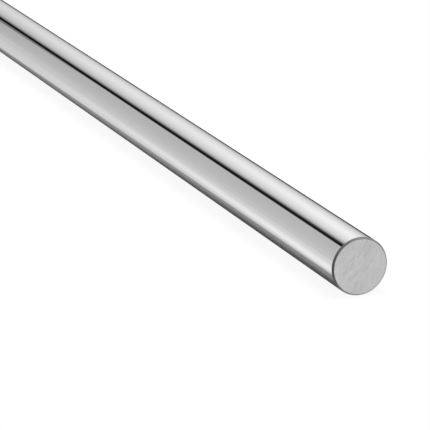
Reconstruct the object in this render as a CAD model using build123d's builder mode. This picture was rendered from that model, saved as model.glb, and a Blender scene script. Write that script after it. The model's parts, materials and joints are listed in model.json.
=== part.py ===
from build123d import *
import os

# Bright round bar: one piece of polished steel stock, sawn square to length.
# Sizes are in millimetres. The bar lies along X on the plane Z = 0, with the
# origin under the middle of its length, so its axis is one radius up.

bar_diameter = 12.0  # over the polished round surface
bar_length = 300.0  # over the two cut ends
rim_width = 0.35  # what the turned rim takes off the cut, across the bar
rim_length = 0.4  # how far the turned rim reaches along the bar

bar_radius = bar_diameter / 2

# The section is drawn on the cut end at -X, centred on the bar's axis.
first_cut = Plane(origin=(-bar_length / 2, 0, bar_radius), x_dir=(0, 1, 0), z_dir=(1, 0, 0))

with BuildPart() as round_bar:
    # Solid round stock, from one cut to the other.
    with BuildSketch(first_cut):
        Circle(bar_radius)
    extrude(amount=bar_length)

    # The saw leaves a sharp edge round each cut, which is turned to a shallow cone.
    for cut in round_bar.faces().filter_by(Axis.X):
        chamfer(cut.edges(), length=rim_width, length2=rim_length, reference=cut)

round_bar.part.label = "round_bar"

os.makedirs("parts", exist_ok=True)
export_step(round_bar.part, "parts/round_bar.step")
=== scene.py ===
import json
import math

import bpy
import numpy as np
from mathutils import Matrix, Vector


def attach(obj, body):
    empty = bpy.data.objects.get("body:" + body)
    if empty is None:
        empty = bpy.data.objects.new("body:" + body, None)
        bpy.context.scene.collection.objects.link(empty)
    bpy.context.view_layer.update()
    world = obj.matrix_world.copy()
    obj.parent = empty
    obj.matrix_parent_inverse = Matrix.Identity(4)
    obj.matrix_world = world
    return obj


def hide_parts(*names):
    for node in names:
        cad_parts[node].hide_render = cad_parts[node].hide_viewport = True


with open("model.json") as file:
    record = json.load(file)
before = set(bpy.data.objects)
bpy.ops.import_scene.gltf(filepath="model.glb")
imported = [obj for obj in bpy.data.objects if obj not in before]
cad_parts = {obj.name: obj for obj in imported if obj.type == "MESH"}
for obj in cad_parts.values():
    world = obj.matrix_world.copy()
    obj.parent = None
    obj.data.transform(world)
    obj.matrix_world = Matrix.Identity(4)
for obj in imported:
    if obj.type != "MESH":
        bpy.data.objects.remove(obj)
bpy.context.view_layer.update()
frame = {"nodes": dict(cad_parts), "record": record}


# ---------------------------------------------------------------- the bar's shape
# One piece of round steel stock, centreless ground and polished, sawn square at
# both ends. The sharp rim of each cut is turned off to a shallow cone. It lies on
# the floor along X, so its axis is one radius up.

side_mount = next(mount for mount in frame["record"]["mounts"] if mount["name"] == "round_surface")
bar_radius = side_mount["dims"]["r_mm"] / 1000
side_half = side_mount["dims"]["length_mm"] / 1000 / 2  # half the straight round side
axis_height = bar_radius
cad_points = np.array([vertex.co for vertex in frame["nodes"]["round_bar"].data.vertices])
half_length = cad_points[:, 0].max()
on_cut = cad_points[:, 0] > half_length - 1e-6
cut_radius = np.hypot(cad_points[on_cut, 1], cad_points[on_cut, 2] - axis_height).max()

steps_round = 384
cut_rings = 84  # rings of faces from the middle of a cut to its rim
side_steps = 24  # rings of faces along the straight side
rim_blend = 0.00004  # radius where the rim runs into the cut and into the side
arc_steps = 4  # rings of faces in each such blend
side_finish, rim_finish, cut_finish = 0, 1, 2  # in the order the materials are added

# The saw's disc came from above and in front, so its grit left short arcs about
# its hub. They gather in patches, some cut in and some thrown up beside them.
disc_radius = 0.0625
disc_bearing = math.radians(148)  # direction of the hub from the axis, from +Y to +Z
score_depth = 0.000008
score_count = 130
score_widths = 0.00009, 0.0002  # half the width
score_lengths = 0.0004, 0.0011  # half the length
score_fade = 0.00012  # width of the band at the cut's edge where they fade out
score_seed = 224
patch_count = 12
patch_reach = 0.0011


def end_outline():
    """Half the bar's outline at its +X end as (x, r), from the middle of the cut
    to the straight side: even steps across the cut, an arc of radius rim_blend
    into the rim's cone, its far end, and an arc into the side. Support points lie
    close beside each arc, so that the long faces keep a true normal."""
    cone = math.atan2(half_length - side_half, bar_radius - cut_radius)  # of its normal, from +X
    cut_edge = cut_radius - rim_blend * math.tan(cone / 2)
    side_edge = side_half - rim_blend * math.tan((math.pi / 2 - cone) / 2)
    into_rim = np.linspace(0, cone, arc_steps + 1)
    into_side = np.linspace(cone, math.pi / 2, arc_steps + 1)
    support = rim_blend / 2
    x = np.concatenate([
        np.full(cut_rings, half_length),
        half_length - rim_blend + rim_blend * np.cos(into_rim),
        side_edge + rim_blend * np.cos(into_side),
        [side_edge - support],
    ])
    r = np.concatenate([
        np.linspace(0, cut_edge - support, cut_rings + 1)[1:],
        cut_edge + rim_blend * np.sin(into_rim),
        bar_radius - rim_blend + rim_blend * np.sin(into_side),
        [bar_radius],
    ])
    return x, r


def bar_grid():
    """The bar's surface as grids of x, y and z, outline point by angle: each
    outline point (x, r) goes round the axis to y = r cos a, z = axis height +
    r sin a. The outline is the +X end, the straight side, and the +X end mirrored."""
    end_x, end_r = end_outline()
    side_x = np.linspace(end_x[-1], -end_x[-1], side_steps + 1)[1:-1]
    outline_x = np.concatenate([end_x, side_x, -end_x[::-1]])
    outline_r = np.concatenate([end_r, np.full(side_steps - 1, bar_radius), end_r[::-1]])
    angle = np.linspace(0, 2 * math.pi, steps_round, endpoint=False)
    x = np.repeat(outline_x[:, None], steps_round, axis=1)
    y = outline_r[:, None] * np.cos(angle)
    z = axis_height + outline_r[:, None] * np.sin(angle)
    return x, y, z


def disc_coordinates(y, z):
    """Where points of a cut lie for the disc: distance from the hub less the
    disc's radius, which runs across the scores, and arc length about the hub from
    the line between hub and axis, which runs along them."""
    hub_y = math.cos(disc_bearing)
    hub_z = math.sin(disc_bearing)
    inward = disc_radius - y * hub_y - (z - axis_height) * hub_z
    sideways = y * hub_z - (z - axis_height) * hub_y
    return np.hypot(inward, sideways) - disc_radius, disc_radius * np.arctan2(sideways, inward)


def disc_scores(y, z, draw):
    """How deep the scores of one cut are, from 0 to 1: a sum of Gaussian grooves
    and ridges, strength exp(-(offset across / width)^2 - (offset along / length)^2),
    about middles that are drawn round the middles of patches, squeezed by tanh."""
    across, along = disc_coordinates(y, z)
    patch = draw.uniform(-cut_radius, cut_radius, (patch_count, 2))
    middle = patch[draw.integers(0, patch_count, score_count)]
    middle = middle + draw.normal(0, patch_reach, (score_count, 2))
    width = draw.uniform(*score_widths, score_count)
    length = draw.uniform(*score_lengths, score_count)
    strength = draw.normal(0, 1, score_count)
    off_across = (across[..., None] - middle[:, 0]) / width
    off_along = (along[..., None] - middle[:, 1]) / length
    return 0.5 + 0.5 * np.tanh((strength * np.exp(-off_across**2 - off_along**2)).sum(-1))


def sink_cuts(x, y, z):
    """Sinks both cuts of the grid by their scores, which fade out at the cut's
    edge, and returns the grid of the scores' depth, from 0 to 1."""
    depth = np.zeros_like(x)
    draw = np.random.default_rng(score_seed)
    for cut, inward in ((slice(0, cut_rings), -1), (slice(-1, -cut_rings - 1, -1), 1)):
        from_axis = np.hypot(y[cut], z[cut] - axis_height)
        depth[cut] = disc_scores(y[cut], z[cut], draw)
        fade = np.minimum(1, (cut_radius - from_axis) / score_fade)
        x[cut] += inward * score_depth * fade * depth[cut]
    return depth


def with_middles(grid, first, last):
    """A grid's values in a row, then those of the points in the middle of the cuts."""
    return np.concatenate([grid.ravel(), [first, last]])


def grid_faces(rings):
    """A four-sided face between each two neighbours on a ring and the next ring,
    and a fan round the middle point of each cut."""
    here = np.arange(steps_round)
    after = (here + 1) % steps_round
    row = np.arange(rings - 1)[:, None] * steps_round
    quads = np.stack([row + here, row + steps_round + here,
                      row + steps_round + after, row + after], -1).reshape(-1, 4)
    middle = np.full(steps_round, rings * steps_round)
    last_row = (rings - 1) * steps_round
    first_fan = np.stack([middle, here, after], -1)
    last_fan = np.stack([middle + 1, last_row + after, last_row + here], -1)
    return quads.tolist() + first_fan.tolist() + last_fan.tolist()


def face_finishes(rings):
    """The finish of each face, in the order of grid_faces. A rim's faces are its
    cone, both its blends and the narrow support beside the side."""
    end_bands = np.repeat([cut_finish, rim_finish], [cut_rings, 1 + 2 * arc_steps + 1])
    side_bands = np.full(rings - 1 - 2 * len(end_bands), side_finish)
    bands = np.concatenate([end_bands, side_bands, end_bands[::-1]])
    return np.concatenate([np.repeat(bands, steps_round), np.full(2 * steps_round, cut_finish)])


x, y, z = bar_grid()
depth = sink_cuts(x, y, z)
points = np.stack([
    with_middles(x, x[0].mean(), x[-1].mean()),
    with_middles(y, 0, 0),
    with_middles(z, axis_height, axis_height),
], -1)
faces = grid_faces(len(x))
bar_mesh = bpy.data.meshes.new("polished_round_bar")
bar_mesh.from_pydata(points.tolist(), [], faces)
bar_mesh.polygons.foreach_set("use_smooth", np.ones(len(faces), bool))
bar_mesh.polygons.foreach_set("material_index", face_finishes(len(x)).astype(np.int32))
scores = with_middles(depth, depth[0].mean(), depth[-1].mean()).astype(np.float32)
bar_mesh.attributes.new("disc_scores", "FLOAT", "POINT").data.foreach_set("value", scores)
bar = bpy.data.objects.new("polished_round_bar", bar_mesh)
bpy.context.scene.collection.objects.link(bar)
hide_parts("round_bar")
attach(bar, "root")


# ---------------------------------------------------------------- the polished side
# Bare steel, ground between wheels and buffed to a mirror. What is left of the
# grinding are faint lines round the bar, and handling has dulled it in places.

side_grey = 0.84
line_pitch = 0.0004
line_drift = 0.02  # how fast the lines change round the bar, against along it
line_tones = 0.985, 1.0
line_ridge, line_relief = 0.00001, 0.15  # height, and how much of it shows
line_dulling = 0.01  # what they add to the roughness
patch_size = 0.018
patch_tones = 1.0, 0.98
patch_shines = 0.03, 0.055  # roughness, buffed and dulled


def add_node(tree, kind, inputs, **options):
    """Adds a shader node with these options. Each input, by name or number, takes
    another node's output or a plain value."""
    made = tree.nodes.new(kind)
    for option, value in options.items():
        setattr(made, option, value)
    for socket, value in inputs.items():
        if isinstance(value, bpy.types.NodeSocket):
            tree.links.new(value, made.inputs[socket])
        else:
            made.inputs[socket].default_value = value
    return made


def maths(tree, operation, *values):
    """The output of a Math node on outputs or numbers."""
    return add_node(tree, "ShaderNodeMath", dict(enumerate(values)), operation=operation).outputs[0]


def noise(tree, vector, size, detail):
    """A Noise Texture whose patches are about this size, in metres."""
    inputs = {"Vector": vector, "Scale": 1 / size, "Detail": detail}
    return add_node(tree, "ShaderNodeTexNoise", inputs).outputs["Fac"]


def ranged(tree, value, low, high, start=0.3, end=0.7, kind="LINEAR"):
    """Carries a value from start and end, a noise's usual range, to low and high."""
    inputs = {"Value": value, "From Min": start, "From Max": end, "To Min": low, "To Max": high}
    return add_node(tree, "ShaderNodeMapRange", inputs, interpolation_type=kind).outputs[0]


def grey(tree, value):
    """A grey of this level as a colour."""
    return add_node(tree, "ShaderNodeCombineColor", {0: value, 1: value, 2: value}).outputs[0]


def drawn_round(tree, place, drift):
    """Coordinates that run on slowly round the bar, so that a noise turns to lines."""
    return add_node(tree, "ShaderNodeMapping", {"Vector": place, "Scale": (1, drift, drift)}).outputs[0]


def metal(name):
    """A new bare-metal material: its tree, Principled shader and Object coordinates."""
    material = bpy.data.materials.new(name)
    material.use_nodes = True
    tree = material.node_tree
    shader = tree.nodes["Principled BSDF"]
    shader.inputs["Metallic"].default_value = 1.0
    place = add_node(tree, "ShaderNodeTexCoord", {}).outputs["Object"]
    bar_mesh.materials.append(material)
    return tree, shader, place


tree, shader, place = metal("polished_steel")
lines = noise(tree, drawn_round(tree, place, line_drift), line_pitch, 3)
patches = noise(tree, place, patch_size, 4)
tone = maths(tree, "MULTIPLY", ranged(tree, lines, *line_tones), ranged(tree, patches, *patch_tones))
shine = maths(tree, "ADD", ranged(tree, patches, *patch_shines), ranged(tree, lines, 0, line_dulling))
relief = {"Height": lines, "Strength": line_relief, "Distance": line_ridge}
ridges = add_node(tree, "ShaderNodeBump", relief)
tree.links.new(grey(tree, maths(tree, "MULTIPLY", tone, side_grey)), shader.inputs["Base Color"])
tree.links.new(shine, shader.inputs["Roughness"])
tree.links.new(ridges.outputs[0], shader.inputs["Normal"])


# ---------------------------------------------------------------- the turned rims
# A shallow cone round each cut, turned dry and never polished, so it is dull. Its grey
# is darker than its neighbours', with painted shade towards -Y, and fine tool lines follow it round.

rim_greys_with_painted_shade = 0.10, 0.345  # in its painted shade, towards -Y, and over the rest
painted_shade_side = -bar_radius, -0.5 * bar_radius  # from the darkest of the painted shade to the rest
tool_pitch = 0.00012
tool_drift = 0.05
burr_size = 0.0009
rim_tones = 0.85, 1.15
rim_shines = 0.5, 0.62
tree, shader, place = metal("turned_rim")
tool_lines = noise(tree, drawn_round(tree, place, tool_drift), tool_pitch, 2)
burrs = noise(tree, place, burr_size, 3)
tone = maths(tree, "MULTIPLY", ranged(tree, tool_lines, *rim_tones), ranged(tree, burrs, *rim_tones))
side = add_node(tree, "ShaderNodeSeparateXYZ", {0: place}).outputs["Y"]
# painted shade: the rim's grey falls towards -Y
tone = maths(tree, "MULTIPLY", tone, ranged(tree, side, *rim_greys_with_painted_shade, *painted_shade_side))
tree.links.new(grey(tree, tone), shader.inputs["Base Color"])
tree.links.new(ranged(tree, burrs, *rim_shines), shader.inputs["Roughness"])


# ---------------------------------------------------------------- the cut ends
# Raw steel off the saw's disc: an even satin grey with soft blotches, and with
# short arcs from the grit, cut into the mesh, with painted shade in their hollows and painted light
# where they are thrown up.

cut_grey = 0.635
blotch_size, blotch_share = 0.003, 0.035  # shares are how far each turns the grey
pit_size, pit_share = 0.0006, 0.03
# how far the scores' painted shade and painted light turn the grey
score_painted_shade = 0.09
cut_shines = 0.5, 0.42
tree, shader, place = metal("cut_steel")
scores = add_node(tree, "ShaderNodeAttribute", {}, attribute_name="disc_scores").outputs["Fac"]
blotches = noise(tree, place, blotch_size, 3)
pits = noise(tree, place, pit_size, 2)
# painted shade in the scores' hollows, painted light where they are thrown up
tone = maths(tree, "MULTIPLY", ranged(tree, scores, 1 + score_painted_shade, 1 - score_painted_shade, 0, 1),
             ranged(tree, blotches, 1 - blotch_share, 1 + blotch_share))
tone = maths(tree, "MULTIPLY", tone, ranged(tree, pits, 1 - pit_share, 1 + pit_share))
tree.links.new(grey(tree, maths(tree, "MULTIPLY", tone, cut_grey)), shader.inputs["Base Color"])
tree.links.new(ranged(tree, pits, *cut_shines), shader.inputs["Roughness"])


# ---------------------------------------------------------------- the floor
# A wide sheet of white paper. Seen straight it is white with a faint shadow. The
# steel sees it as a glow painted greyer, with a painted streak of light in front of the bar
# that fades towards its -X end, and close to the bar a painted shadow of the bar.

floor_half = 4.0
floor_corners = [(-floor_half, -floor_half, 0), (floor_half, -floor_half, 0),
                 (floor_half, floor_half, 0), (-floor_half, floor_half, 0)]
floor_mesh = bpy.data.meshes.new("floor")
floor_mesh.from_pydata(floor_corners, [], [(0, 1, 2, 3)])
floor = bpy.data.objects.new("floor", floor_mesh)
bpy.context.scene.collection.objects.link(floor)

paper_white = 0.9
seen_white = 1.013  # its glow to the camera
camera_share, steel_share = 0.9, 0.75  # of its glow in what each sees, the rest is lit paper

# Its glow to the steel, a painted pool of light and painted shadow. A pair of tones or widths is at the
# -X end and the +X end
# of its range. Ranges along X are from the bar's middle, those across from its axis.
open_tone, open_gain = 0.535, 0.2  # out in the open, and how much it gains towards +X
open_range = -0.3, 0.1
open_bend = 3  # the power it gains with
close_tones = 0.57, 0.69  # close to the bar
close_range = -0.15, -0.02
close_reach = 0.012, 0.028  # across, where the close floor ends
streak_gain = 0.32
streak_range = -0.052, 0.108
streak_rise = 0.0093, 0.013  # across, where the streak starts
shade_widths = 0.0055, 0.0092  # half the width of the shade at the bar's two ends
shade_edge = 0.0009  # half the width of its soft edge
shade_tones = 0.31, 0.17  # share of the glow that is left in the shade
shade_range = 0.02, 0.11
core_tone = 0.36  # share of that in the middle of the shade
core_edge = 0.5, 0.72  # share of half its width where that middle ends
end_tone = 0.85  # past the bar's ends
end_rise = -0.002, -0.0003  # along X from the end, where it starts
end_reach = 0.018, 0.034  # across, where it ends


def mixed(tree, share, first, second):
    """The first value where the share is 0, the second where it is 1."""
    return add_node(tree, "ShaderNodeMix", {"Factor": share, "A": first, "B": second}).outputs[0]


paper = bpy.data.materials.new("white_paper")
paper.use_nodes = True
paper.cycles.emission_sampling = "NONE"
floor_mesh.materials.append(paper)
tree = paper.node_tree
tree.nodes.clear()
ray = add_node(tree, "ShaderNodeLightPath", {}).outputs
place = add_node(tree, "ShaderNodeTexCoord", {}).outputs["Object"]
place = add_node(tree, "ShaderNodeSeparateXYZ", {0: place}).outputs
aside = maths(tree, "ABSOLUTE", place["Y"])
in_front = maths(tree, "MULTIPLY", place["Y"], -1)

# painted light: the glow's tone near and away from the bar, brighter towards +X, and a streak in front
gain = maths(tree, "POWER", ranged(tree, place["X"], 0, 1, *open_range), open_bend)
open_floor = maths(tree, "MULTIPLY_ADD", gain, open_gain, open_tone)
close = ranged(tree, aside, 1, 0, *close_reach, "SMOOTHSTEP")
tone = mixed(tree, close, open_floor, ranged(tree, place["X"], *close_tones, *close_range))
streak = ranged(tree, in_front, 0, streak_gain, *streak_rise, "SMOOTHSTEP")
streak = maths(tree, "MULTIPLY", streak, ranged(tree, place["X"], 0, 1, *streak_range))
tone = maths(tree, "ADD", tone, maths(tree, "MULTIPLY", streak, close))
# painted shadow of the bar, darkest in its middle; past the bar's ends the glow turns to end_tone
shade_width = ranged(tree, place["X"], *shade_widths, -half_length, half_length)
shade_tone = ranged(tree, place["X"], *shade_tones, *shade_range)
from_edge = maths(tree, "SUBTRACT", aside, shade_width)
shade = ranged(tree, from_edge, shade_tone, 1, -shade_edge, shade_edge, "SMOOTHSTEP")
core = ranged(tree, maths(tree, "DIVIDE", aside, shade_width), core_tone, 1, *core_edge, "SMOOTHSTEP")
tone = maths(tree, "MULTIPLY", tone, maths(tree, "MULTIPLY", shade, core))
beyond = maths(tree, "SUBTRACT", maths(tree, "ABSOLUTE", place["X"]), half_length)
beyond = ranged(tree, beyond, 0, 1, *end_rise)
past_end = maths(tree, "MULTIPLY", beyond, ranged(tree, aside, 1, 0, *end_reach))
tone = mixed(tree, past_end, tone, end_tone)

strength = mixed(tree, ray["Is Glossy Ray"], seen_white, tone)
glow = add_node(tree, "ShaderNodeEmission", {"Strength": strength})
lit = add_node(tree, "ShaderNodeBsdfDiffuse", {"Color": (paper_white, paper_white, paper_white, 1)})
share = maths(tree, "MULTIPLY", ray["Is Glossy Ray"], steel_share)
share = maths(tree, "MULTIPLY_ADD", ray["Is Camera Ray"], camera_share, share)
seen = add_node(tree, "ShaderNodeMixShader", {0: share, 1: lit.outputs[0], 2: glow.outputs[0]})
add_node(tree, "ShaderNodeOutputMaterial", {"Surface": seen.outputs[0]})


# ---------------------------------------------------------------- the low black card
# A strip of black card stands close behind the bar. Only the steel sees it, as the
# thin dark line that parts the bar's upper edge from the white paper.

card_y = 0.024
card_top = 0.0102
card_ends = -0.35, half_length - 0.012
card_taper = 0.025  # length over which its top comes down to the +X end
card_black = 0.01
card_mesh = bpy.data.meshes.new("low_black_card")
card_mesh.from_pydata([(card_ends[0], card_y, 0), (card_ends[1], card_y, 0),
                       (card_ends[1] - card_taper, card_y, card_top), (card_ends[0], card_y, card_top)],
                      [], [(0, 1, 2, 3)])
card = bpy.data.objects.new("low_black_card", card_mesh)
bpy.context.scene.collection.objects.link(card)
card.visible_camera = False
card.visible_diffuse = False
card.visible_shadow = False
black = bpy.data.materials.new("black_card")
black.use_nodes = True
black_shader = black.node_tree.nodes["Principled BSDF"]
black_shader.inputs["Base Color"].default_value = (card_black, card_black, card_black, 1)
black_shader.inputs["Roughness"].default_value = 1.0
card_mesh.materials.append(black)


# ---------------------------------------------------------------- the light
# The bar lies in a long tent of white cloth, lit from above and behind. A gap runs
# along its top, with a dim wedge of cloth in front of it that widens away to -X. Only
# the steel sees the tent, the rest gets plain even light and a soft lamp's shadow.

tent = (  # degrees round the bar from straight up, towards the front, and light near and far
    (-90, 0.30, 0.28), (-80, 0.62, 0.62), (-60, 0.84, 0.76),  # the back, dim at its foot
    (-40, 1.02, 0.78), (-26, 1.03, 0.73), (-8, 0.89, 0.66),  # the lit top
    (4, 0.745, 0.53), (12.5, 0.44, 0.36), (18.5, 0.06, 0.025),  # where it darkens to the gap
    (21.5, 0.014, 0), (29.8, 0.011, 0),  # the gap
    (31.2, 0.54, 0.50), (55, 0.57, 0.52), (75, 0.605, 0.55), (90, 0.67, 0.59),  # the front
)
tent_ways = -0.87, -0.945  # how far along -X the steel looks, near and far
end_light = 0.95  # share of the light at the tent's far end
end_ways = -0.915, -0.934
wedge_tone = 0.2
wedge_start = 28, 30  # degrees, its soft edge at the gap
wedge_end = 25, 41  # degrees, near and far. Near, it comes before the start: no wedge
wedge_ways = -0.9034, -0.934
wedge_edge = 1.5  # degrees, half the width of the soft edge where it ends
plain_light = 0.4
lamp_light = 1.95
lamp_width = 30  # degrees, for a soft shadow
lamp_lean = -4  # degrees, a little behind the bar
world = bpy.data.worlds.new("light_tent")
bpy.context.scene.world = world
world.use_nodes = True
world.cycles.sampling_method = "NONE"
tree = world.node_tree
tree.nodes.clear()
ray = add_node(tree, "ShaderNodeLightPath", {}).outputs
place = add_node(tree, "ShaderNodeTexCoord", {}).outputs["Generated"]
way = add_node(tree, "ShaderNodeSeparateXYZ", {0: place}).outputs
bearing = maths(tree, "ARCTAN2", maths(tree, "MULTIPLY", way["Y"], -1), way["Z"])
bearing = maths(tree, "DEGREES", bearing)
ramp = add_node(tree, "ShaderNodeValToRGB", {"Fac": ranged(tree, bearing, 0, 1, -180, 180)})
stops = ramp.color_ramp.elements
stops.remove(stops[-1])
for number, (degrees, near, far) in enumerate(tent):
    stop = stops.new((degrees + 180) / 360) if number else stops[0]
    stop.position = (degrees + 180) / 360
    stop.color = (near, far, 0, 1)
light = add_node(tree, "ShaderNodeSeparateColor", {0: ramp.outputs[0]}).outputs
light = mixed(tree, ranged(tree, way["X"], 0, 1, *tent_ways), light[0], light[1])
light = maths(tree, "MULTIPLY", light, ranged(tree, way["X"], 1, end_light, *end_ways))
past_wedge = maths(tree, "SUBTRACT", bearing, ranged(tree, way["X"], *wedge_end, *wedge_ways))
wedge = ranged(tree, past_wedge, 1, 0, -wedge_edge, wedge_edge, "SMOOTHSTEP")
wedge = maths(tree, "MULTIPLY", wedge, ranged(tree, bearing, 0, 1, *wedge_start, "SMOOTHSTEP"))
light = mixed(tree, wedge, light, wedge_tone)
cloth = add_node(tree, "ShaderNodeBackground", {"Color": grey(tree, light)})
plain = add_node(tree, "ShaderNodeBackground", {"Color": (plain_light, plain_light, plain_light, 1)})
white = add_node(tree, "ShaderNodeBackground", {"Color": (1, 1, 1, 1)})
seen = plain
for rays, background in (("Is Glossy Ray", cloth), ("Is Camera Ray", white)):
    inputs = {0: ray[rays], 1: seen.outputs[0], 2: background.outputs[0]}
    seen = add_node(tree, "ShaderNodeMixShader", inputs)
add_node(tree, "ShaderNodeOutputWorld", {"Surface": seen.outputs[0]})

lamp_data = bpy.data.lights.new("soft_lamp", "SUN")
lamp_data.energy = lamp_light
lamp_data.angle = math.radians(lamp_width)
lamp = bpy.data.objects.new("soft_lamp", lamp_data)
lamp.rotation_euler = (math.radians(lamp_lean), 0, 0)
lamp.visible_glossy = False
bpy.context.scene.collection.objects.link(lamp)


# ---------------------------------------------------------------- the camera
# A long lens, from in front of the +X end, that end to the right and the rest of
# the bar running out of the frame at the upper left.

view_azimuth = math.radians(68.0)
view_elevation = math.radians(16.7)
view_distance = 90.3 * bar_radius
lens_length = 230.2  # mm, for a sensor 36 mm wide
aim_left = 4.77 * bar_radius  # the frame's middle, left of and above the near cut
aim_above = 1.70 * bar_radius
back = Vector((math.sin(view_azimuth) * math.cos(view_elevation),
               -math.cos(view_azimuth) * math.cos(view_elevation), math.sin(view_elevation)))
right = Vector((math.cos(view_azimuth), math.sin(view_azimuth), 0))
near_cut = Vector((half_length, 0, axis_height))
camera_data = bpy.data.cameras.new("camera")
camera_data.lens = lens_length
camera_data.sensor_width = 36
camera_data.clip_start = 0.01
camera = bpy.data.objects.new("camera", camera_data)
camera.location = near_cut - aim_left * right + aim_above * back.cross(right) + view_distance * back
camera.rotation_euler = (math.pi / 2 - view_elevation, 0, view_azimuth)
bpy.context.scene.collection.objects.link(camera)
bpy.context.scene.camera = camera
bpy.context.scene.view_settings.view_transform = "Standard"
